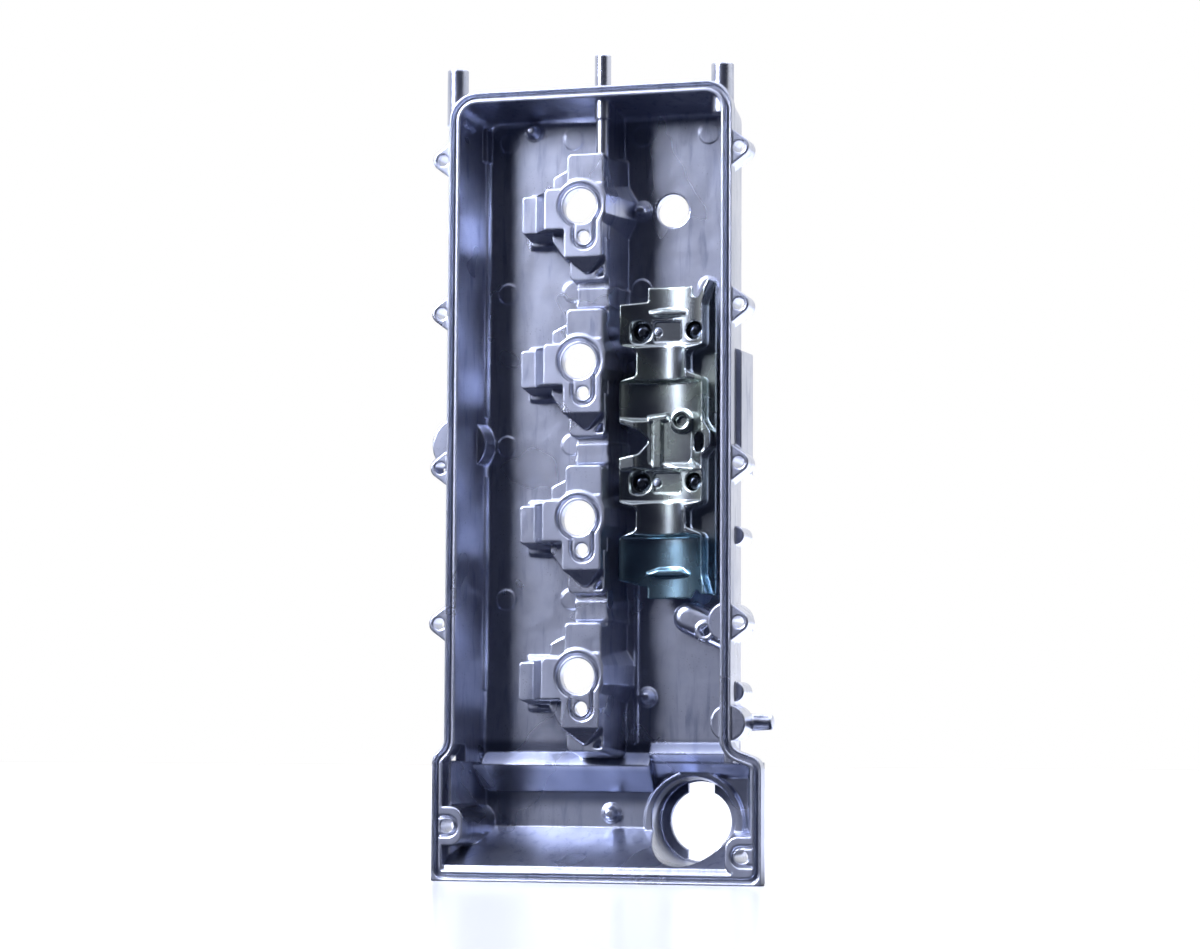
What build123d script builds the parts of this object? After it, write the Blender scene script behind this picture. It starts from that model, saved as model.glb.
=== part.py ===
"""Die-cast valve cover of a four-cylinder engine, with the oil baffle in its right bay.

The casting is drawn lying on its back: x runs across, y along the engine from the front end at 0,
and z out of the open side, with the sealing face at z = 0. It is stood on its front end at the end.
"""

import os

from build123d import *

# Sealing rim.
length = 491.7
half_width = 91.4
front_left = 99.1
front_right = 110.4
rear_radius = 17.5
shoulder_left = (83.6, 75.8)
shoulder_right = (82.6, 75.7)
shoulder_radius = 8.3
rim_width = 6.7
land_outer = 1.5
groove_width = 3.0
groove_depth = 3.2
groove_foot_radius = 5.5
flange_depth = 9.0

# Walls and roof. Depths are measured from the sealing face.
wall = 3.6
roof_depth = 38.0
floor_radius = 3.5
foot_left = 77.4
foot_right = 82.6
foot_rear = 478.0
roof_left = 82.0
roof_right = 87.8
roof_rear = 482.5

# Front bay: deeper than the rest, with a low dam along its rear edge.
bay_depth = 46.5
skirt_depth = 14.0
bay_foot_left = 79.0
bay_foot_right = 91.0
bay_roof_left = 83.5
bay_roof_right = 96.0
bay_front_top = 9.6
bay_front_foot = 32.6
dam_depth = 33.5
dam_left = (79.5, 71.5, 55.0)
dam_right = (85.5, 79.0, 64.0)
dam_jog_x = 31.0
front_wall = 4.2
foot_rib = 4.5
foot_rib_places = (-83.5, -56.0, -28.5, -1.0, 26.5, 57.0, 87.5)

# Towers round the injector wells, joined by a spine.
cylinders = 4
cylinder_pitch = 97.0
first_well = (-5.7, 417.25)
well_radius = 10.9
well_chamfer = 0.6
well_seat = 4.6
well_pocket_radius = 13.2
tower_radius = 16.7
tower_foot_radius = 19.5
bolt_offset = (2.7, -19.7)
bolt_radius = 4.0
bolt_pocket_radius = 8.0
seal_radius = 14.2
seal_lobe_radius = 7.9
seal_width = 2.0
seal_depth = 2.0
spine_half_width = 9.6
spine_foot_left = -12.5
spine_foot_right = 15.3
saddle_depth = 5.0
ridge_depth = 9.6
bridge_depth = 7.5
bridge_offset = 56.8
crossbar_depth = 10.5
shoulder_depth = 12.0
channel_width = 10.0

# Bosses, holes and marks.
mark_radius = 6.4
mark_height = 0.4
mark_columns = (-64.0, -21.3, 24.0, 67.2)
first_mark_y = 465.8
stud_foot_radius = 6.4
stud_radius = 4.7
stud_tip_radius = 2.8
stud_height = 7.0
breather = (43.9, 417.8)
breather_radius = 10.4
breather_pad_radius = 15.5
breather_pad = 2.6

# Bolt ears along both sides.
ears = 4
ear_x = 95.8
first_ear_y = 449.7
ear_tip_radius = 6.3
ear_hole_radius = 3.75
ear_half_height = 12.5
ear_recess = 0.8
ear_depth = 18.0

# Filler neck with its bayonet seat.
filler = (56.9, 37.0)
neck_radius = 26.0
neck_wall = 4.0
neck_draft = 0.4
mouth_radius = 27.6
mouth_rise = 3.0
mouth_depth = 33.0
mouth_end = 54.0
mouth_end_radius = 25.4
collar_radius = 31.5
collar_depth = 43.5
seat_depth = 62.5
seat_thickness = 3.5
seat_radius = 19.6
key_radius = 24.8
key_width = 17.0

# Front bolt columns: hole, then the box of the lobe on the sealing face.
column_left = (-89.0, 33.8)
column_right = (98.0, 17.5)
column_hole_radius = 4.3
column_seat = 21.0
column_pocket_radius = 8.0
lobe_reach = 9.9
lobe_half_height = 11.9
lobe_radius = 8.0
lobe_draft = 6.3
lobe_groove_radius = 6.8

# Posts at the rear end: x, height of the end, radius.
post_depth = 9.0
post_foot = 472.0
posts = ((-88.9, 507.9, 6.7), (6.4, 512.5, 5.1), (83.4, 503.1, 7.0))

# Oil baffle, stamped from sheet. Its troughs clear the camshaft's lobes and journals.
sheet = 1.2
crest_depth = 13.0
baffle_base = 24.0
baffle_left = 16.7
baffle_right = 76.0
baffle_low = 176.3
baffle_high = 370.5
tab_low = 174.0
tab_high = 367.0
journal_left = 27.5
journal_crest = 59.1
journal_radius = 23.2
journal_x = 42.5
journal_depth = 19.5
lobe_crest = 69.5
cam_radius = 38.4
cam_x = 43.1
cam_depth = 24.0
cam_spans = ((150.0, 211.5), (285.5, 307.5))
saddle_radius = 50.2
saddle_floor = 21.0
saddle_spans = ((234.0, 253.0), (331.0, 390.0))
trough_step = 7.0
trough_run = 2.5
wall_spread = 1.5
middle_floor = (36.0, 61.5)
middle_span = (257.5, 284.0)
middle_depth = 20.0
middle_run = 9.0
recess_depth = 22.0
recess_x = (36.5, 54.6)
recess_height = 13.0
bead_depth = 18.5
dimple = (55.1, 283.3)
cup_radius = 5.8
cup_flare = 8.6
rivet_x = (29.0, 63.3)
rivet_y = (245.6, 339.4)
pin_x = 38.8
rivet_radius = 2.4
rivet_hole = 2.5
rivet_head = 5.3
rivet_height = 3.0


def polygon(points, radii=0.0):
    """A closed face with a straight run between its points and a round at each of them."""
    return make_face(FilletPolyline(*points, radius=radii, close=True))


def box_points(left, right, low, high):
    return [(left, low), (right, low), (right, high), (left, high)]


def prism(face, depth_from, depth_to, taper=0.0):
    """A face pushed from one depth below the sealing face to a greater one, growing by the taper."""
    return extrude(Pos(0, 0, -depth_from) * face, depth_to - depth_from, dir=(0, 0, -1), taper=-taper)


def blend(upper, depth_upper, lower, depth_lower):
    """A solid with straight walls between two faces at two depths."""
    sections = [Pos(0, 0, -depth_upper) * upper, Pos(0, 0, -depth_lower) * lower]
    return loft([section.face() for section in sections], ruled=True)


def cone(xy, radius_upper, depth_upper, radius_lower, depth_lower):
    height = depth_lower - depth_upper
    middle = -(depth_upper + depth_lower) / 2
    if radius_upper == radius_lower:
        return Pos(*xy, middle) * Cylinder(radius_upper, height)
    return Pos(*xy, middle) * Cone(radius_lower, radius_upper, height)


def side_profile(points, x_from, x_to):
    """A solid with the given y-z section, from one x to another."""
    return extrude(Plane.YZ.offset(x_from) * polygon(points), x_to - x_from)


def rim_outline():
    """The outer edge of the sealing rim: a narrow body with a wide front end."""
    points = [
        (-front_left, 0),
        (front_right, 0),
        (front_right, shoulder_right[1]),
        (half_width, shoulder_right[0]),
        (half_width, length),
        (-half_width, length),
        (-half_width, shoulder_left[0]),
        (-front_left, shoulder_left[1]),
    ]
    radii = [0.6, 0.6] + [shoulder_radius] * 2 + [rear_radius] * 2 + [shoulder_radius] * 2
    return polygon(points, radii)


def rim_inset(distance, foot_radius=0.0):
    inner = offset(rim_outline(), amount=-distance, kind=Kind.INTERSECTION)
    if foot_radius:
        return fillet(inner.vertices().group_by(Axis.Y)[0], foot_radius)
    return inner


def front_part(face, rear):
    """The part of a face that lies in front of y = rear."""
    return face & Pos(0, rear / 2) * Rectangle(400, rear)


def outer_solid():
    """The outside of the casting, still full: flange, skirt, drafted tub and front bay."""
    inset = 1.0
    side = half_width - inset
    top = polygon(box_points(-side, side, 40, length - inset), [0, 0, rear_radius - 1, rear_radius - 1])
    roof = polygon(box_points(-roof_left, roof_right, 40, roof_rear), [0, 0, 12, 12])
    tub = blend(top, flange_depth - 3, roof, roof_depth + wall)
    tub = fillet(tub.faces().sort_by(Axis.Z)[0].edges().group_by(Axis.Y)[1:], 3)
    skirt = prism(front_part(rim_inset(inset), 86), flange_depth - 3, skirt_depth)
    bay_top = polygon(box_points(inset - front_left, front_right - inset, 0, 74))
    bay_roof = polygon(box_points(-bay_roof_left, bay_roof_right, 0, 74))
    bay = blend(bay_top, skirt_depth - 1, bay_roof, bay_depth + wall)
    return prism(rim_outline(), 0, flange_depth) + tub + skirt + bay


def front_pockets():
    """Hollows under the sloping front wall. The ribs between them end on the foot face."""
    run = bay_front_foot - bay_front_top
    section = [
        (-1, -flange_depth),
        (bay_front_top - front_wall + run * (flange_depth - 2) / (bay_depth - 2), -flange_depth),
        (bay_front_foot - front_wall, -bay_depth),
        (bay_front_foot - front_wall, -bay_depth - 2 * wall),
        (-1, -bay_depth - 2 * wall),
    ]
    pockets = []
    for start, end in zip(foot_rib_places, foot_rib_places[1:]):
        pockets.append(side_profile(section, start + foot_rib / 2, end - foot_rib / 2))
    return pockets


def cavity_section(dam):
    """The y-z section of the inside: front slope, bay floor, dam and main floor."""
    floor_line, crest_line, slope_foot = dam
    return [
        (rim_width - 1, 1),
        (rim_width + 0.4, -1.6),
        (bay_front_top, -2),
        (bay_front_foot, -bay_depth),
        (slope_foot, -bay_depth),
        (crest_line, -dam_depth),
        (floor_line, -roof_depth),
        (length, -roof_depth),
        (length, 1),
    ]


def cavity():
    """The inside of the casting: plan shapes with drafted walls, cut to the side section."""
    side = half_width - rim_width
    top = polygon(box_points(-side - 0.2, side + 0.1, 60, length - rim_width), [0, 0, 10.8, 10.8])
    floor = polygon(box_points(-foot_left, foot_right, 60, foot_rear), [0, 0, 8, 8])
    main = blend(top, -1, floor, roof_depth)
    main = fillet(main.faces().sort_by(Axis.Z)[0].edges().group_by(Axis.Y)[1:], floor_radius)
    skirt = prism(front_part(rim_inset(rim_width), 84), -1, skirt_depth)
    bay_top = polygon(box_points(rim_width - front_left + 0.6, front_right - rim_width - 0.6, 1, 73))
    bay_floor = polygon(box_points(-bay_foot_left, bay_foot_right, 1, 73))
    bay = blend(bay_top, skirt_depth - 0.5, bay_floor, bay_depth)
    left = side_profile(cavity_section(dam_left), -front_left, dam_jog_x)
    right = side_profile(cavity_section(dam_right), dam_jog_x, front_right)
    return (main + skirt + bay) & (left + right)


def drafted_box(xs, ys, depth, foot_xs, foot_ys, radii=0.0):
    """A block with drafted sides that stands on the main floor."""
    return blend(
        polygon(box_points(*xs, *ys), radii),
        depth,
        polygon(box_points(*foot_xs, *foot_ys), radii),
        roof_depth + 1,
    )


def tower(x, y):
    """One injector tower, about its well: the machined face, the arm and the blocks round it."""
    ring = cone((x, y), tower_radius, 0, tower_foot_radius, roof_depth + 1)
    rear_block = drafted_box(
        (x - 8.5, x + 15.1),
        (y, y + 32.5),
        1.0,
        (x - 10.5, x + 20.8),
        (y, y + 34),
        [0, 0, 3, 3],
    )
    solid = ring + [rear_block, tower_face(x, y), shoulder(x, y), buttress(x, y), nose(x, y)]
    return solid + crossbar(x, y)


def tower_face(x, y):
    """The arm and the front block, whose faces are one machined land."""
    top = [
        (x, y + 11.2),
        (x - 22.2, y + 11.2),
        (x - 22.2, y - 12),
        (x - 10, y - 12),
        (x - 10, y - 31.8),
        (x + 14.5, y - 31.8),
        (x + 14.5, y),
    ]
    foot = [
        (x, y + 14),
        (x - 24.5, y + 14),
        (x - 24.5, y - 15),
        (x - 12.5, y - 15),
        (x - 12.5, y - 34),
        (x + 20.8, y - 34),
        (x + 20.8, y),
    ]
    radii = [0, 1.5, 1.5, 5, 1, 1, 0]
    return blend(polygon(top, radii), 0, polygon(foot, radii), roof_depth + 1)


def crossbar(x, y):
    """The lower box at the end of the arm, with a slope up to the arm's face."""
    low, high = y - 15, y + 8.6
    left_corners = [2, 0, 0, 2]
    foot_ys = (low - 2.5, high + 2.5)
    body = drafted_box((x - 40.7, x), (low, high), crossbar_depth, (x - 43, x), foot_ys, left_corners)
    slope = [
        (x - 31.1, -crossbar_depth - 1),
        (x - 31.1, -crossbar_depth),
        (x - 22.8, 0),
        (x, 0),
        (x, -crossbar_depth - 1),
    ]
    ramp = extrude(Plane.XZ.offset(-low - 0.6) * polygon(slope), low - high)
    ledge_ys = (low - 5, high + 4)
    ledge = drafted_box((x - 41.5, x), ledge_ys, 31.5, (x - 44, x), (low - 6.5, high + 5), left_corners)
    return [body, ramp, ledge]


def shoulder(x, y):
    """The wide collar that carries the arm, with slanted corners."""
    top = [(0, -32), (0, 26), (-9, 26), (-21, 20), (-21, -20), (-13, -32)]
    foot = [(0, -34), (0, 29), (-10, 29), (-26, 22), (-26, -22), (-15, -34)]
    return Pos(x, y) * blend(polygon(top, 2), shoulder_depth, polygon(foot, 2), roof_depth + 1)


def buttress(x, y):
    """The faceted bulge of the tower towards the right bay."""
    top = [(0, -12), (14, -12), (16.7, -5), (16.7, 6), (14, 14), (0, 14)]
    foot = [(0, -17), (20.8, -17), (26.8, -5), (26.8, 7), (20.8, 17), (0, 17)]
    return Pos(x, y) * blend(polygon(top), 0.5, polygon(foot), roof_depth + 1)


def nose(x, y):
    """The pointed end of the tower's face, and the saddle round it."""
    outline = [(-10, -31), (-10, -31.8), (4, -43), (14.5, -31.8), (14.5, -31)]
    point = Pos(x, y) * polygon(outline, [0, 1, 3, 1, 0])
    slope = [(y - 31.8, 0), (y - 44, -4.5), (y - 44, -30), (y - 30, -30), (y - 30, 0)]
    wedge = prism(point, 0, 24) & side_profile(slope, x - 20, x + 20)
    saddle = drafted_box(
        (x - 7.5, x + 15.8),
        (y - 46.4, y - 20),
        saddle_depth,
        (x - 9.5, x + 20.8),
        (y - 51, y - 20),
        [4, 4, 0, 0],
    )
    hollow = polygon([(x + 7.8, y - 44.2), (x + 14.4, y - 44.2), (x + 14.4, y - 36.4)], 1.2)
    return wedge + saddle - prism(hollow, 0, 17)


def spine():
    """The ridge that joins the towers, and the half-round rib behind the last one."""
    x, y = first_well
    last = y - cylinder_pitch * (cylinders - 1)
    ridge = drafted_box(
        (-spine_half_width, spine_half_width + 1.1),
        (last - 20, y),
        ridge_depth,
        (spine_foot_left, spine_foot_right),
        (last - 20, y),
    )
    rear_x, _, _ = posts[1]
    rib_end = length - rim_width
    rib_ys = (y, rib_end)
    rib = drafted_box((rear_x - 4.2, rear_x + 4.2), rib_ys, post_depth, (rear_x - 6, rear_x + 6), rib_ys)
    crown = Pos(rear_x, (y + rib_end) / 2, -post_depth) * Rot(90, 0, 0) * Cylinder(4.2, rib_end - y)
    parts = [ridge, rib, crown]
    for number in range(cylinders - 1):
        parts.append(bridge(y - bridge_offset - number * cylinder_pitch))
    return parts


def bridge(y):
    """The waisted plate on the ridge, halfway between two towers."""
    top = [(-9.6, y + 6.2), (-8.3, y), (-10.4, y - 6.2), (12.2, y - 6.2), (10.9, y), (11.3, y + 6.2)]
    foot = [(-13.1, y + 8), (-11.8, y), (-13.9, y - 8), (17.0, y - 8), (15.9, y), (16.2, y + 8)]
    radii = [0.8, 8, 1.5, 1.5, 8, 0.8]
    return blend(polygon(top, radii), bridge_depth, polygon(foot, radii), roof_depth + 1)


def keyhole(x, y, well, lobe):
    """A circle round the well joined to a smaller one round the bolt."""
    bolt_x, bolt_y = x + bolt_offset[0], y + bolt_offset[1]
    neck = Pos(bolt_x, (y + bolt_y) / 2) * Rectangle(2 * lobe, y - bolt_y)
    return Pos(x, y) * Circle(well) + neck + Pos(bolt_x, bolt_y) * Circle(lobe)


def tower_cuts(x, y):
    """Well, bolt hole and seal groove from inside; the well's pocket from outside."""
    back = roof_depth + wall + 1
    well = cone((x, y), well_radius, -1, well_radius, back)
    chamfer = cone((x, y), well_radius + well_chamfer, -0.01, well_radius, well_chamfer)
    bolt = cone((x + bolt_offset[0], y + bolt_offset[1]), bolt_radius, -1, bolt_radius, back)
    outline = keyhole(x, y, seal_radius, seal_lobe_radius)
    island = keyhole(x, y, seal_radius - seal_width, seal_lobe_radius - seal_width)
    groove = prism(outline - island, -1, seal_depth)
    pocket = prism(keyhole(x, y, well_pocket_radius, bolt_pocket_radius), well_seat, back)
    return [well, chamfer, bolt, groove, pocket] + tower_hollows(x, y, back)


def tower_hollows(x, y, back):
    """The tower is a shell: hollows from outside follow its arm, its shoulder and its blocks."""
    arm = blend(
        polygon(box_points(x - 36, x, y - 11, y + 5), 2),
        crossbar_depth + 4.5,
        polygon(box_points(x - 39, x, y - 13.5, y + 7), 2),
        back,
    )
    collar = blend(
        polygon(box_points(x - 17, x + 6, y - 25, y + 18), 3),
        shoulder_depth + 4,
        polygon(box_points(x - 22.5, x + 12, y - 28, y + 20.5), 3),
        back,
    )
    block = blend(
        polygon(box_points(x - 5, x + 10.5, y - 28, y + 28.5), 2),
        well_seat,
        polygon(box_points(x - 7, x + 16, y - 30, y + 30.5), 2),
        back,
    )
    return [arm, collar, block]


def channel():
    """The trough in the outside of the spine that the well pockets open into."""
    x, y = first_well
    last = y - cylinder_pitch * (cylinders - 1)
    plan = polygon(box_points(-channel_width / 2, channel_width / 2, last - 24, y + 28), 3)
    return prism(plan, 12, roof_depth + wall + 1)


def wall_details():
    """The ledge along the foot of the left wall, and the round boss that interrupts it."""
    parts = []
    for low, high in ((118, 252.5), (290, 452.5)):
        ys = (low, high)
        parts.append(drafted_box((-81, 0.8 - foot_left), ys, 34.2, (-81, 1.2 - foot_left), ys))
    parts.append(drafted_box((-83, 1.4 - foot_left), (453, 474), 29, (-83, 2 - foot_left), (453, 475)))
    parts.append(cone((-92, 272.2), 17.5, 25, 20, roof_depth + 1))
    bead = drafted_box((20.5, 22.5), (85, 190), 36.6, (19.5, 23.5), (85, 190))
    return parts + [bead]


def studs():
    """Blind conical bosses, each on a low round foot."""
    places = [
        (-47.6, 472.0, roof_depth),
        (24.5, 418.2, roof_depth),
        (29.0, 113.7, roof_depth),
        (3.4, 41.7, bay_depth),
    ]
    parts = []
    for x, y, floor in places:
        parts.append(cone((x, y), stud_foot_radius - 0.4, floor - 0.8, stud_foot_radius, floor + 1))
        pin = cone((x, y), stud_tip_radius, floor - stud_height, stud_radius, floor)
        parts.append(fillet(pin.edges().sort_by(Axis.Z)[-1], 1.6))
    return parts


def marks():
    """Round ejector marks in columns along the main floor."""
    parts = []
    for column, x in enumerate(mark_columns):
        rows = 4 if column < 2 else 2
        for row in range(rows):
            y = first_mark_y - row * cylinder_pitch
            parts.append(cone((x, y), mark_radius, roof_depth - mark_height, mark_radius, roof_depth + 1))
    return parts


def oblique_boss():
    """The slanted half-round housing on the right wall, with a ringed boss on it."""
    body = Pos(76, 154, 0) * Rot(0, 0, -23.5) * SlotOverall(62, 19)
    body = prism(body, 26.5, roof_depth + 1)
    body = fillet(body.faces().sort_by(Axis.Z)[-1].edges(), 6)
    return body + cone((68.5, 154.2), 6.0, 24.5, 6.6, roof_depth)


def column_lobe(xy, depth, inward):
    """The plan of a front bolt column at one depth; inward is +1 on the left side and -1 on the right."""
    x, y = xy
    reach = lobe_reach + lobe_draft * depth / bay_depth
    half = lobe_half_height + 1.3 * depth / bay_depth
    radius = lobe_radius + 3 * depth / bay_depth
    if inward > 0:
        return polygon(box_points(x - 10, x + reach, y - half, y + half), [0, radius, radius, 0])
    return polygon(box_points(x - reach, x + 10, y - half, y + half), [radius, 0, 0, radius])


def front_columns(outside):
    """The two bolt columns of the front bay, kept within the outside of the casting."""
    parts = []
    for xy, inward in ((column_left, 1), (column_right, -1)):
        lobe = column_lobe(xy, 0, inward)
        foot = column_lobe(xy, bay_depth, inward)
        parts.append(blend(lobe, 0, foot, bay_depth + 1) & outside)
    return parts


def column_cuts():
    parts = []
    for (x, y), inward in ((column_left, 1), (column_right, -1)):
        back = bay_depth + 2 * wall
        parts.append(cone((x, y), column_hole_radius, -1, column_hole_radius, back))
        parts.append(cone((x, y), column_pocket_radius, column_seat, column_pocket_radius + 1, back))
        rings = []
        for radius in (lobe_groove_radius, lobe_groove_radius - seal_width):
            run = Pos(x - inward * 3.5, y) * Rectangle(7, 2 * radius)
            rings.append(Pos(x, y) * Circle(radius) + run)
        parts.append(prism(rings[0] - rings[1], -1, seal_depth))
    return parts


def ear(side, y):
    """A three-cornered bolt ear beside the rim."""
    tip = Pos(side * ear_x, y) * Circle(ear_tip_radius)
    root_x = side * (half_width - 2)
    root = Line((root_x, y - ear_half_height), (root_x, y + ear_half_height))
    return prism(make_hull(tip.edges() + [root]), ear_recess, ear_depth)


def side_features():
    """What stands out from the side walls and the rear end."""
    parts = []
    for side in (-1, 1):
        for row in range(ears):
            parts.append(ear(side, first_ear_y - row * cylinder_pitch))
    for x, end, radius in posts:
        height = end - post_foot
        post = Pos(x, post_foot + height / 2, -post_depth) * Rot(90, 0, 0) * Cylinder(radius, height)
        parts.append(chamfer(post.edges().sort_by(Axis.Y)[-1], 0.5))
    parts.append(cone((half_width - 2, 97.8), 11.0, ear_recess, 11.0, 22))
    spigot = Pos(99.5, 98.3, -25) * Rot(0, 90, 0) * Cone(6.0, 4.6, 25)
    parts.append(fillet(spigot.edges().sort_by(Axis.X)[-1], 1.8))
    parts.append(cone((85.5, 159.3), 12.0, 13, 12.0, 36))
    parts.append(cone((89.0, 212.6), 5.6, 20, 5.6, roof_depth + wall))
    parts.append(cone((88.5, 117.0), 6.2, 20, 6.2, roof_depth + wall))
    box = blend(
        polygon([(80, 250), (93.5, 250), (93.5, 326), (80, 331)], 1.5),
        18,
        polygon([(80, 250), (94.8, 250), (94.8, 326), (80, 331)], 1.5),
        roof_depth + wall,
    )
    return parts + [box]


def side_cuts():
    parts = []
    for side in (-1, 1):
        for row in range(ears):
            y = first_ear_y - row * cylinder_pitch
            parts.append(cone((side * ear_x, y), ear_hole_radius, -1, ear_hole_radius, ear_depth + 20))
    return parts


def neck():
    """The outside of the filler neck."""
    return cone(filler, neck_radius + neck_wall, 5, neck_radius + neck_wall, seat_depth + seat_thickness)


def neck_cuts():
    """The neck's bore with a drafted, flared mouth, and the keyed bayonet seat at its outer end."""
    x, y = filler
    bore = cone(filler, neck_radius, mouth_end, neck_radius, seat_depth)
    draft = cone(filler, neck_radius + neck_draft, -1, neck_radius, mouth_end)
    mouth = blend(
        Pos(x, y + mouth_rise) * Circle(mouth_radius),
        mouth_depth,
        Pos(x, y) * Circle(mouth_end_radius),
        mouth_end,
    )
    keys = Pos(x, y) * (Circle(key_radius) & Rectangle(key_width, 3 * key_radius))
    seat = prism(Pos(x, y) * Circle(seat_radius) + keys, seat_depth - 1, seat_depth + seat_thickness + 1)
    return [bore, draft, mouth, seat]


def breather_parts():
    x, y = breather
    outer = roof_depth + wall + breather_pad
    pad = cone(breather, breather_pad_radius + 0.5, roof_depth + 1, breather_pad_radius, outer)
    return pad, cone(breather, breather_radius, roof_depth - 2, breather_radius, outer + 1)


def cover_casting():
    outside = outer_solid()
    pad, breather_bore = breather_parts()
    body = outside - front_pockets() + neck() + pad
    body -= cavity()
    inner = spine() + wall_details() + studs() + marks() + front_columns(outside)
    inner.append(oblique_boss() & outside)
    inner.append(cone(filler, collar_radius, collar_depth, collar_radius + 0.8, bay_depth + 1))
    cuts = [channel(), breather_bore] + column_cuts() + side_cuts() + neck_cuts()
    cuts.append(cone((68.5, 154.2), 3.4, 20, 3.4, 33))
    for index in range(cylinders):
        x, y = first_well[0], first_well[1] - index * cylinder_pitch
        inner.append(tower(x, y))
        cuts += tower_cuts(x, y)
    inner += baffle_posts()
    cuts += baffle_post_holes()
    body = body + inner + side_features()
    outer_edge = rim_inset(land_outer, groove_foot_radius)
    inner_edge = rim_inset(land_outer + groove_width, groove_foot_radius - 1)
    cuts.append(prism(outer_edge - inner_edge, -1, groove_depth))
    return body - cuts


def crest_line(shift, spread=0.0):
    """The plan of the raised sheet: straight on the left, waved on the right between lobes and journals."""
    lobe, journal = lobe_crest + shift, journal_crest + shift
    points = [
        (0, baffle_low - 12),
        (lobe + 6.5, baffle_low - 12),
        (lobe, 188 + spread),
        (lobe, 213.5),
        (journal, 217.5 + spread),
        (journal, 229 - spread),
        (lobe, 232.5),
        (lobe, 261),
        (lobe + 5.3, 268),
        (lobe + 5.3, 276),
        (lobe, 284.5),
        (lobe, 310),
        (journal, 314 + spread),
        (journal, 326.5 - spread),
        (lobe, 330),
        (lobe, 356 - spread),
        (lobe + 8, baffle_high + 10),
        (0, baffle_high + 10),
    ]
    return polygon(points, [0, 0] + [3.2] * 14 + [0, 0])


def trough(x, depth, radius, span, inset):
    """A round-bottomed hollow along the camshaft with conical ends, moved out by the inset."""
    low, high = span
    side = radius + inset
    end = side - trough_step
    profile = Polyline(
        (0, low - trough_run),
        (end, low - trough_run),
        (side, low - inset / 2),
        (side, high + inset / 2),
        (end, high + trough_run),
        (0, high + trough_run),
        close=True,
    )
    turned = revolve(Plane.XY * make_face(profile), Axis.Y)
    return Pos(x, 0, radius - depth) * turned


def middle_hollow(inset):
    """The shallow drafted box between the two rivet rows."""
    left, right = middle_floor
    low, high = middle_span
    run = middle_run + inset
    upper = polygon(box_points(left - run, right + run, low - run, high + run), 6)
    lower = polygon(box_points(left - inset, right + inset, low - inset, high + inset), 3)
    return blend(upper, crest_depth + inset - 1, lower, middle_depth + inset)


def bead(points, foot_depth, inset):
    """A low ridge pressed up from a trough."""
    plan = polygon(points, 0.8)
    lower = offset(plan, amount=1.4 - inset)
    upper = offset(plan, amount=-0.6 - 0.3 * inset)
    return blend(upper, bead_depth + inset, lower, foot_depth + 1 + inset)


def baffle_form(inset):
    """The solid under the sheet's top surface, with that surface moved down and in by the inset."""
    form = blend(crest_line(-inset), crest_depth + inset, crest_line(wall_spread - inset), 30)
    whole = (baffle_low - 40, baffle_high + 40)
    hollows = [middle_hollow(inset), trough(journal_x, journal_depth, journal_radius, whole, inset)]
    for span in cam_spans:
        hollows.append(trough(cam_x, cam_depth, cam_radius, span, inset))
    for span in saddle_spans:
        hollows.append(trough(cam_x, saddle_floor, saddle_radius, span, inset))
    for y in rivet_y:
        low, high = y - recess_height / 2, y + recess_height / 2
        face = polygon(box_points(recess_x[0] - inset, recess_x[1] + inset, low - inset, high + inset), 1.5)
        floor = recess_depth + inset
        hollows.append(prism(face, crest_depth, floor))
        hollows.append(cone((rivet_x[0], y), cup_flare + inset, saddle_floor - 4, cup_radius + inset, floor))
    form -= hollows
    form += bead([(39, 349), (61, 349), (61, 352.5), (42, 353), (32, 351.5)], saddle_floor, inset)
    form += bead([(30, 188.7), (39, 188), (61, 188), (55, 192), (40, 192)], cam_depth, inset)
    form += bead([(36.4, 254), (42.6, 254), (42.6, 285), (36.4, 285)], middle_depth, inset)
    form += bead([(33, 283), (46, 283.8), (46, 288), (33, 286.5)], middle_depth, inset)
    form += cone(dimple, 6.4 - 0.3 * inset, 16.0 + inset, 8.4 - inset, 25.0 + inset)
    form -= cone(dimple, 4.8 + inset, 15.0 + inset, 3.6 + inset, 20.5 + inset)
    mouth, floor = cup_radius + inset, cup_radius - 0.2 + inset
    for x in rivet_x:
        for y in rivet_y:
            form -= cone((x, y), mouth, crest_depth, floor, baffle_base + inset)
    return form


def baffle_outline():
    """The cut edge of the sheet, seen from the open side."""
    left, waist = baffle_left, journal_left
    points = [
        (left, 185.2),
        (32.8, 181),
        (32.8, tab_low),
        (61.6, tab_low),
        (65.5, 180.5),
        (68.5, baffle_low),
        (baffle_right, baffle_low),
        (baffle_right, baffle_high),
        (73, baffle_high),
        (66.5, 359.5),
        (62.5, 361),
        (62.5, tab_high),
        (33, tab_high),
        (33, 358.2),
        (left, 356.2),
        (left, 330.5),
        (waist, 328.8),
        (waist, 311.5),
        (left, 308.5),
        (left, 282.4),
        (28.3, 278),
        (35, 271.5),
        (28.3, 263),
        (left, 260.6),
        (left, 232.8),
        (waist, 229.5),
        (waist, 215.5),
        (left, 211.5),
    ]
    tabs = [0.5, 1, 0.5, 0.5, 2, 0.5, 0.5, 0.5, 1.5, 2, 1, 0.5, 0.5, 1, 0.5]
    waists = [3, 3, 3, 3]
    return polygon(points, tabs + waists + [0.5, 3, 3, 3, 0.5] + waists)


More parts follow.
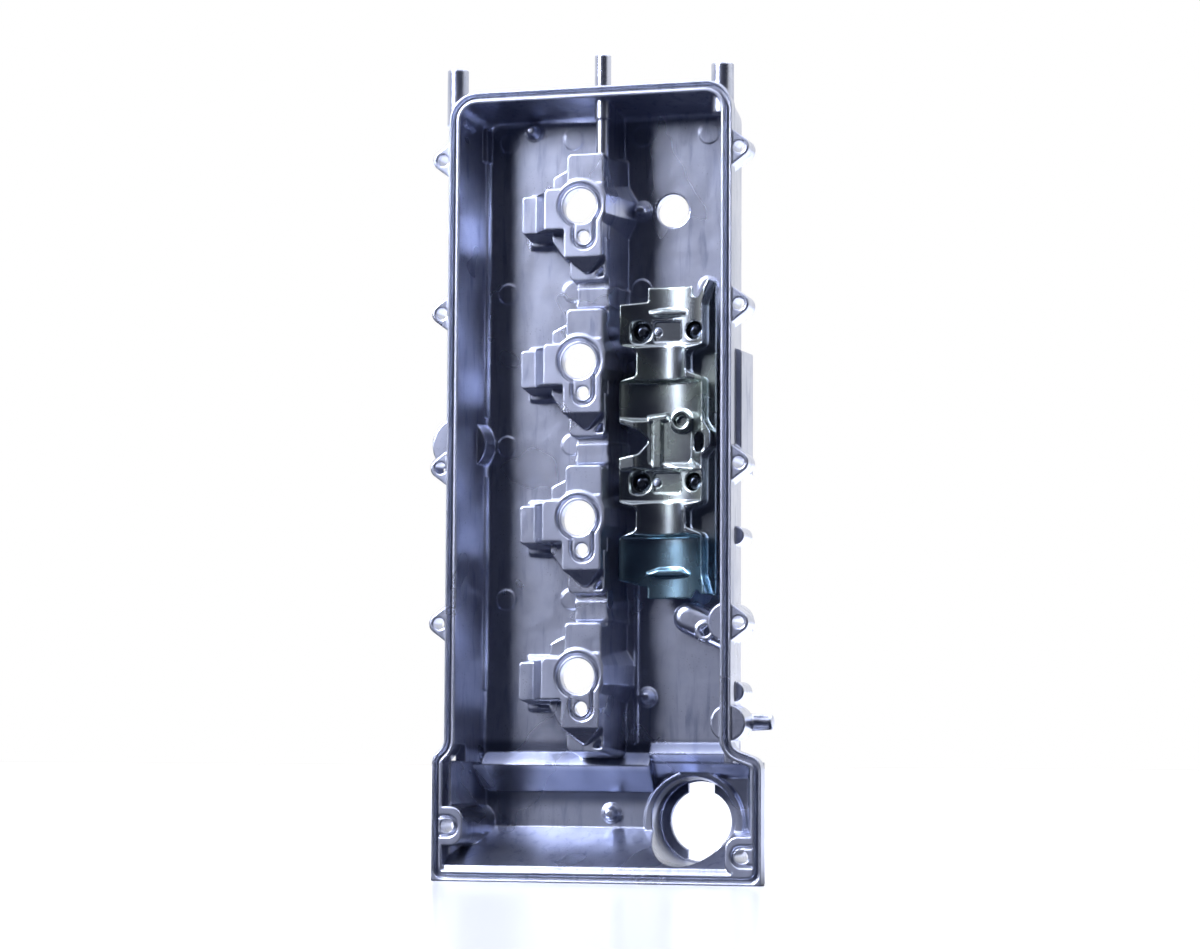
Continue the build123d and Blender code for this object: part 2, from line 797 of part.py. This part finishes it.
def baffle_plate():
    """The pressed sheet, of even thickness, cut to its outline and pierced."""
    band = polygon(box_points(journal_crest - 1, baffle_right, baffle_low - 5, baffle_high + 5))
    flange = prism(band, baffle_base, baffle_base + sheet)
    plate = baffle_form(0) + flange - baffle_form(sheet)
    plate = plate & prism(baffle_outline(), 0, baffle_base + sheet)
    cuts = [prism(Pos(67.0, 270) * SlotOverall(12.6, 7.6, rotation=90), 0, 40)]
    for y in rivet_y:
        cuts.append(cone((pin_x, y), 2.5, recess_depth - 4, 2.5, recess_depth + 4))
        for x in rivet_x:
            cuts.append(cone((x, y), rivet_hole, baffle_base - 2, rivet_hole, baffle_base + 3))
    return plate - cuts


def baffle_posts():
    """Pillars of the casting that carry the baffle, and the pins that locate it."""
    parts = []
    for y in rivet_y:
        parts.append(cone((pin_x, y), 1.9, recess_depth - 1.5, 1.9, roof_depth + 1))
        for x in rivet_x:
            top, foot = cup_radius - 0.6, cup_radius + 0.4
            parts.append(cone((x, y), top, baffle_base + sheet, foot, roof_depth + 1))
    return parts


def baffle_post_holes():
    holes = []
    for x in rivet_x:
        for y in rivet_y:
            holes.append(cone((x, y), rivet_hole, baffle_base, rivet_hole, baffle_base + 11))
    return holes


def rivets():
    """Domed heads on shanks driven into the casting's pillars."""
    parts = []
    for x in rivet_x:
        for y in rivet_y:
            slope, edge = baffle_base - 1.9, baffle_base - 0.6
            crown = cone((x, y), rivet_head - 2.8, baffle_base - rivet_height, rivet_head - 0.9, slope)
            rim = cone((x, y), rivet_head - 0.9, slope, rivet_head, edge)
            foot = cone((x, y), rivet_head, edge, rivet_head, baffle_base)
            shank = cone((x, y), rivet_radius, baffle_base, rivet_radius, baffle_base + 9)
            parts.append(crown + rim + foot + shank)
    return Compound(children=parts)


def stand(shape):
    """Turns a part from lying on its back to standing on its front end."""
    return Rot(90, 0, 0) * shape


if __name__ == "__main__":
    os.makedirs("parts", exist_ok=True)
    casting = cover_casting()
    print("casting", len(casting.solids()), casting.is_valid, round(casting.volume))
    export_step(stand(casting), "parts/cover_casting.step")
    baffle = baffle_plate()
    print("baffle", len(baffle.solids()), baffle.is_valid, round(baffle.volume))
    export_step(stand(baffle), "parts/baffle_plate.step")
    export_step(stand(rivets()), "parts/baffle_rivets.step")
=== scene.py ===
import bpy, bmesh, math
from mathutils import Matrix, Vector

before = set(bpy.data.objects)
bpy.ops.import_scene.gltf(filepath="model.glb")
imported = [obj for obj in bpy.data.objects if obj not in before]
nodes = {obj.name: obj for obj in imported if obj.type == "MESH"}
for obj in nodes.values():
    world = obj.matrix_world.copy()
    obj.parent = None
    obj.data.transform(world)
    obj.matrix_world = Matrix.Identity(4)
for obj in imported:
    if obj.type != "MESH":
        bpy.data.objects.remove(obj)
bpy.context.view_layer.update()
print("frame loaded:", sorted(nodes))


def linear(hexColour):
    # an sRGB hex value as linear light, opaque
    channels = [int(hexColour[i:i + 2], 16) / 255 for i in (1, 3, 5)]
    return [c / 12.92 if c <= 0.04045 else ((c + 0.055) / 1.055) ** 2.4 for c in channels] + [1.0]


def addNode(tree, kind, settings=None, values=None, links=None):
    # settings are the node's own fields, values its unlinked sockets, links its linked ones
    node = tree.nodes.new(kind)
    for name, value in (settings or {}).items():
        setattr(node, name, value)
    for name, value in (values or {}).items():
        node.inputs[name].default_value = value
    for name, source in (links or {}).items():
        tree.links.new(source, node.inputs[name])
    return node


def newMaterial(name):
    material = bpy.data.materials.new(name)
    material.use_nodes = True
    tree = material.node_tree
    tree.nodes.clear()
    output = addNode(tree, "ShaderNodeOutputMaterial")
    return material, tree, output


def combine(tree, first, second, operation="MULTIPLY"):
    # joins two numbers, each a socket or a plain value
    node = addNode(tree, "ShaderNodeMath", {"operation": operation})
    for place, source in enumerate((first, second)):
        if isinstance(source, (int, float)):
            node.inputs[place].default_value = source
        else:
            tree.links.new(source, node.inputs[place])
    return node.outputs[0]


def fade(tree, source, start, end, low=0.0, high=1.0):
    # a smooth change from low to high as the source goes from start to end
    node = addNode(
        tree, "ShaderNodeMapRange", {"interpolation_type": "SMOOTHSTEP"},
        {"From Min": start, "From Max": end, "To Min": low, "To Max": high}, {"Value": source})
    return node.outputs[0]


def tint(tree, amount, first, second):
    # amount 0 gives the first colour, 1 the second; each is a hex value or a socket
    node = addNode(tree, "ShaderNodeMix", {"data_type": "RGBA"}, links={0: amount})
    for place, colour in ((6, first), (7, second)):    # the node's two colour sockets
        if isinstance(colour, str):
            node.inputs[place].default_value = linear(colour)
        else:
            tree.links.new(colour, node.inputs[place])
    return node.outputs[2]    # its colour output


view = {
    "place": (0.5878, -1.9369, 0.0817),    # metres
    "turn": 16.651,       # degrees to the left of the cover's own depth axis
    "tilt": 4.749,        # degrees upwards
    "roll": 0.302,
    "lens": 99.07,        # millimetres
    "sensor": 36.0,
    "reach": 50.0,        # metres
}


def makeCamera():
    data = bpy.data.cameras.new("studioCamera")
    data.lens = view["lens"]
    data.sensor_width = view["sensor"]
    data.clip_end = view["reach"]
    camera = bpy.data.objects.new("studioCamera", data)
    bpy.context.scene.collection.objects.link(camera)
    turn, tilt, roll = (math.radians(view[k]) for k in ("turn", "tilt", "roll"))
    forward = Vector((-math.sin(turn) * math.cos(tilt), math.cos(turn) * math.cos(tilt), math.sin(tilt)))
    right = Vector((math.cos(turn), math.sin(turn), 0))
    up = right.cross(forward)
    rolledRight = math.cos(roll) * right + math.sin(roll) * up
    rolledUp = math.cos(roll) * up - math.sin(roll) * right
    basis = Matrix((rolledRight, rolledUp, -forward)).transposed().to_4x4()
    camera.matrix_world = Matrix.Translation(view["place"]) @ basis
    bpy.context.scene.camera = camera


makeCamera()
print("camera ready")


castAlloy = {
    "skin": "#ccd0de",
    "shade": "#babfce",
    "land": "#d0d5e6",
    "stain": "#8f97b2",
    "mottle": "#9aa2bc",
    "pore": "#454b60",
    # painted shade: a darker tone on the deep front end, put in where it should look dim
    "band": "#6c7389",
    "stainAmount": 0.7,
    "mottleAmount": 0.2,
    "poreAmount": 0.35,
    "landAmount": 0.85,
    "roughness": 0.28,
    "edge": 0.0019,                    # metres, the radius that casting leaves on an edge
    "landDepth": (0.00012, 0.00022),   # metres from the sealing plane, over which the milling ends
    "bandFrom": (0.043, 0.052),        # metres up, over which the painted shade comes in
    "bandTo": (0.089, 0.084),          # and goes out
    "bandDepth": (0.03, 0.037),        # metres from the sealing plane; all that is deeper gets the painted shade
    "grainSize": 0.55,                 # millimetres, half a cell of noise, as are the next three
    "waveSize": 9.0,
    "mottleSize": 3.5,
    "patchSize": 34.0,
    "flowCells": 160.0,                # noise cells in a metre, 6 mm wide before they are stretched
    "flowStretch": 0.16,               # share of those cells that is left along the height
    "poreCells": 900.0,                # noise cells in a metre, 1.1 mm wide
    "cutterStep": 0.7,                 # millimetres for a radian of the milling marks, 4.4 from mark to mark
    "waveHeight": 0.00035,             # metres
    "grainHeight": 0.00005,
    "cutterHeight": 0.00001,
}
waveRadians = 20    # what the wave texture turns through in one unit of length


def makeCastAlloy():
    # die-cast aluminium: a cool grey skin, satin with soft uneven reflections where the die's face has
    # worn, darker flow stains, rounded bright edges, and milled lands in the sealing plane whose marks
    # are drawn coarser than real ones; painted shade, a darker band, lies on all that is deep in the front
    # end, outside too
    material, tree, output = newMaterial("dieCastAluminiumSkin")
    place = addNode(tree, "ShaderNodeTexCoord").outputs["Object"]
    parts = addNode(tree, "ShaderNodeSeparateXYZ", links={"Vector": place})
    depth, height = parts.outputs["Y"], parts.outputs["Z"]
    milled = fade(tree, combine(tree, depth, 0.0, "ABSOLUTE"), *castAlloy["landDepth"], 1.0, 0.0)

    grain = addNode(tree, "ShaderNodeTexNoise", links={"Vector": place}, values={
        "Scale": 1000 / castAlloy["grainSize"] / 2, "Detail": 2.0, "Roughness": 0.6}).outputs["Fac"]
    wave = addNode(tree, "ShaderNodeTexNoise", links={"Vector": place}, values={
        "Scale": 1000 / castAlloy["waveSize"] / 2, "Detail": 2.0, "Roughness": 0.45}).outputs["Fac"]
    patch = addNode(tree, "ShaderNodeTexNoise", links={"Vector": place}, values={
        "Scale": 1000 / castAlloy["patchSize"] / 2, "Detail": 3.0, "Roughness": 0.5,
        "Distortion": 0.3}).outputs["Fac"]
    stretched = addNode(tree, "ShaderNodeMapping", links={"Vector": place}, values={
        "Scale": (1.0, 1.0, castAlloy["flowStretch"])})
    flow = addNode(tree, "ShaderNodeTexNoise", links={"Vector": stretched.outputs[0]}, values={
        "Scale": castAlloy["flowCells"], "Detail": 4.0, "Roughness": 0.6, "Distortion": 0.4}).outputs["Fac"]
    mottle = addNode(tree, "ShaderNodeTexNoise", links={"Vector": place}, values={
        "Scale": 1000 / castAlloy["mottleSize"] / 2, "Detail": 2.0, "Roughness": 0.5}).outputs["Fac"]
    pores = addNode(tree, "ShaderNodeTexNoise", links={"Vector": place}, values={
        "Scale": castAlloy["poreCells"], "Detail": 1.0}).outputs["Fac"]

    colour = tint(tree, fade(tree, patch, 0.38, 0.66), castAlloy["skin"], castAlloy["shade"])
    stained = fade(tree, flow, 0.5, 0.75, 0.0, castAlloy["stainAmount"])
    colour = tint(tree, stained, colour, castAlloy["stain"])
    mottled = fade(tree, mottle, 0.3, 0.8, 0.0, castAlloy["mottleAmount"])
    colour = tint(tree, mottled, colour, castAlloy["mottle"])
    speck = combine(tree, fade(tree, pores, 0.66, 0.72), fade(tree, wave, 0.5, 0.6))
    colour = tint(tree, combine(tree, speck, castAlloy["poreAmount"]), colour, castAlloy["pore"])
    # painted shade: a darker tone on all deeper than 30 mm between these heights, inside and outside
    band = combine(tree, fade(tree, height, *castAlloy["bandFrom"]), fade(tree, height, *castAlloy["bandTo"]))
    band = combine(tree, band, fade(tree, depth, *castAlloy["bandDepth"]))
    band = combine(tree, band, fade(tree, patch, 0.2, 0.6, 0.7, 1.0))
    colour = tint(tree, band, colour, castAlloy["band"])
    colour = tint(tree, combine(tree, milled, castAlloy["landAmount"]), colour, castAlloy["land"])

    roughness = combine(tree, castAlloy["roughness"], fade(tree, patch, 0.25, 0.75, -0.02, 0.04), "ADD")

    rough = combine(tree, 1.0, combine(tree, milled, 0.8), "SUBTRACT")    # a fifth where it is milled
    bevel = addNode(tree, "ShaderNodeBevel", {"samples": 6}, {"Radius": castAlloy["edge"]})
    slowBump = addNode(tree, "ShaderNodeBump", values={"Distance": castAlloy["waveHeight"]}, links={
        "Height": wave, "Strength": combine(tree, rough, 0.8), "Normal": bevel.outputs["Normal"]})
    fineBump = addNode(tree, "ShaderNodeBump", values={"Distance": castAlloy["grainHeight"]}, links={
        "Height": grain, "Strength": combine(tree, rough, 0.8), "Normal": slowBump.outputs["Normal"]})
    cutter = addNode(
        tree, "ShaderNodeTexWave", {"wave_type": "RINGS", "rings_direction": "Y"},
        {"Scale": 1000 / castAlloy["cutterStep"] / waveRadians, "Distortion": 0.4, "Detail": 1.0},
        {"Vector": place})
    landBump = addNode(tree, "ShaderNodeBump", values={"Distance": castAlloy["cutterHeight"]}, links={
        "Height": cutter.outputs["Fac"], "Strength": combine(tree, milled, 0.3),
        "Normal": fineBump.outputs["Normal"]})
    shader = addNode(tree, "ShaderNodeBsdfPrincipled", values={"Metallic": 1.0}, links={
        "Base Color": colour, "Roughness": roughness, "Normal": landBump.outputs["Normal"]})
    tree.links.new(shader.outputs[0], output.inputs[0])
    return material


zincSheet = {
    "face": "#b4babd",
    "blue": "#88a6b3",
    "green": "#a9b3a8",
    "blueBelow": (0.218, 0.206),    # metres up, over which the sheet turns blue
    "roughness": 0.23,
    "edge": 0.0018,                 # metres
    "filmCells": 28.0,              # noise cells in a metre, 36 mm wide
    "grainCells": 700.0,            # noise cells in a metre, 1.4 mm wide
    "grainHeight": 0.00002,         # metres
}


def makeZincSheet():
    # zinc-plated pressed steel: smooth, near mirror in the troughs, with a thin passivation film that
    # drifts between grey and grey-green, and is blue at the sheet's lower end
    material, tree, output = newMaterial("zincPlatedPressedSteel")
    place = addNode(tree, "ShaderNodeTexCoord").outputs["Object"]
    height = addNode(tree, "ShaderNodeSeparateXYZ", links={"Vector": place}).outputs["Z"]
    film = addNode(tree, "ShaderNodeTexNoise", links={"Vector": place}, values={
        "Scale": zincSheet["filmCells"], "Detail": 3.0}).outputs["Fac"]
    grain = addNode(tree, "ShaderNodeTexNoise", links={"Vector": place}, values={
        "Scale": zincSheet["grainCells"], "Detail": 2.0}).outputs["Fac"]
    colour = tint(tree, fade(tree, film, 0.35, 0.65), zincSheet["face"], zincSheet["green"])
    colour = tint(tree, fade(tree, height, *zincSheet["blueBelow"]), colour, zincSheet["blue"])
    bevel = addNode(tree, "ShaderNodeBevel", {"samples": 8}, {"Radius": zincSheet["edge"]})
    bump = addNode(tree, "ShaderNodeBump", values={
        "Strength": 0.25, "Distance": zincSheet["grainHeight"]}, links={
        "Height": grain, "Normal": bevel.outputs["Normal"]})
    roughness = fade(tree, film, 0.3, 0.7, zincSheet["roughness"] - 0.03, zincSheet["roughness"] + 0.07)
    shader = addNode(tree, "ShaderNodeBsdfPrincipled", values={"Metallic": 1.0}, links={
        "Base Color": colour, "Roughness": roughness, "Normal": bump.outputs["Normal"]})
    tree.links.new(shader.outputs[0], output.inputs[0])
    return material


rivetSteel = {
    "face": "#4c525c",
    "worn": "#7b828c",
    "roughness": 0.16,
    "edge": 0.0012,        # metres
    "wearCells": 420.0,    # noise cells in a metre, 2.4 mm wide
}


def makeRivetSteel():
    # oiled blackened steel: dark and glossy, with small sharp highlights on the dome
    material, tree, output = newMaterial("blackenedSteelHeads")
    place = addNode(tree, "ShaderNodeTexCoord").outputs["Object"]
    wear = addNode(tree, "ShaderNodeTexNoise", links={"Vector": place}, values={
        "Scale": rivetSteel["wearCells"], "Detail": 3.0}).outputs["Fac"]
    colour = tint(tree, fade(tree, wear, 0.5, 0.75), rivetSteel["face"], rivetSteel["worn"])
    bevel = addNode(tree, "ShaderNodeBevel", {"samples": 8}, {"Radius": rivetSteel["edge"]})
    roughness = fade(tree, wear, 0.3, 0.8, rivetSteel["roughness"], rivetSteel["roughness"] + 0.15)
    shader = addNode(tree, "ShaderNodeBsdfPrincipled", values={"Metallic": 1.0}, links={
        "Base Color": colour, "Roughness": roughness, "Normal": bevel.outputs["Normal"]})
    tree.links.new(shader.outputs[0], output.inputs[0])
    return material


def assign(node, material):
    node.data.materials.clear()
    node.data.materials.append(material)


assign(nodes["cover_casting"], makeCastAlloy())
assign(nodes["baffle_plate"], makeZincSheet())
assign(nodes["baffle_rivets"], makeRivetSteel())
print("materials assigned")


studio = {
    "floor": "#e0e2e8",
    "floorGlow": 0.05,           # the table's own light where it is white
    "floorSpill": 0.012,         # and where it is dark
    "glow": "#ffffff",
    "floorRoughness": 0.18,
    "floorSpecular": 0.5,
    "floorReach": 12.0,          # metres from the middle to an edge
    "floorWhite": (0.05, 0.3),   # metres behind the sealing plane, over which it turns white in reflections
    "room": "#151927",
    "behind": "#ffffff",
    "sweep": (-0.5, -0.02),      # how far back a direction points, over which the room turns white
    "panel": "#e8ecff",
    "key": {"left": -0.82, "right": -0.56, "low": 0.23, "high": 0.72, "edge": 0.06, "power": 45.0},
    "top": {"low": 0.4, "high": 0.9, "power": 2.0},
}


def makeFloor():
    # an opal acrylic table top, white with a soft reflection to the camera; reflected in the cover or
    # lighting it, only the part behind is white and the part in front is dark
    mesh = bpy.data.meshes.new("studioFloor")
    bm = bmesh.new()
    bmesh.ops.create_grid(bm, x_segments=1, y_segments=1, size=studio["floorReach"])
    bm.to_mesh(mesh)
    bm.free()
    floor = bpy.data.objects.new("studioFloor", mesh)
    bpy.context.scene.collection.objects.link(floor)
    material, tree, output = newMaterial("backlitOpalAcrylic")
    place = addNode(tree, "ShaderNodeTexCoord").outputs["Object"]
    depth = addNode(tree, "ShaderNodeSeparateXYZ", links={"Vector": place}).outputs["Y"]
    seen = addNode(tree, "ShaderNodeLightPath").outputs["Is Camera Ray"]
    lit = combine(tree, seen, fade(tree, depth, *studio["floorWhite"]), "MAXIMUM")
    shader = addNode(tree, "ShaderNodeBsdfPrincipled", values={
        "Roughness": studio["floorRoughness"], "Emission Color": linear(studio["glow"])}, links={
        "Specular IOR Level": combine(tree, seen, studio["floorSpecular"]),
        "Base Color": tint(tree, lit, studio["room"], studio["floor"]),
        "Emission Strength": fade(tree, lit, 0.0, 1.0, studio["floorSpill"], studio["floorGlow"])})
    tree.links.new(shader.outputs[0], output.inputs[0])
    mesh.materials.append(material)


def softPatch(tree, azimuth, rise, panel):
    # a lit panel seen in one direction of the room, in radians across and sine upwards, with soft edges
    edge = panel["edge"]
    fromLeft = fade(tree, azimuth, panel["left"] - edge, panel["left"] + edge)
    fromRight = fade(tree, azimuth, panel["right"] + edge, panel["right"] - edge)
    fromBelow = fade(tree, rise, panel["low"] - edge, panel["low"] + edge)
    fromAbove = fade(tree, rise, panel["high"] + edge, panel["high"] - edge)
    return combine(tree, combine(tree, fromLeft, fromRight), combine(tree, fromBelow, fromAbove))


def makeWorld():
    # white all round to the camera; to the cover a dark room in front of the table, a white sweep
    # behind it, one tall bright key panel to the left and a light overhead
    world = bpy.data.worlds.new("studioRoom")
    bpy.context.scene.world = world
    world.use_nodes = True
    tree = world.node_tree
    tree.nodes.clear()
    output = addNode(tree, "ShaderNodeOutputWorld")
    direction = addNode(tree, "ShaderNodeTexCoord").outputs["Generated"]
    parts = addNode(tree, "ShaderNodeSeparateXYZ", links={"Vector": direction})
    toBack, rise = parts.outputs["Y"], parts.outputs["Z"]
    azimuth = combine(tree, parts.outputs["X"], combine(tree, toBack, -1.0), "ARCTAN2")
    seen = addNode(tree, "ShaderNodeLightPath").outputs["Is Camera Ray"]
    white = combine(tree, fade(tree, toBack, *studio["sweep"]), seen, "MAXIMUM")
    colour = tint(tree, white, studio["room"], studio["behind"])
    room = addNode(tree, "ShaderNodeBackground", links={"Color": colour}).outputs[0]
    key, top = studio["key"], studio["top"]
    masks = [
        combine(tree, softPatch(tree, azimuth, rise, key), key["power"]),
        combine(tree, fade(tree, rise, top["low"], top["high"]), top["power"]),
    ]
    for mask in masks:
        glow = addNode(tree, "ShaderNodeBackground", values={"Color": linear(studio["panel"])}, links={
            "Strength": mask})
        room = addNode(tree, "ShaderNodeAddShader", links={0: room, 1: glow.outputs[0]}).outputs[0]
    tree.links.new(room, output.inputs[0])


makeFloor()
makeWorld()
bpy.context.scene.view_settings.view_transform = "Standard"
print("studio ready")
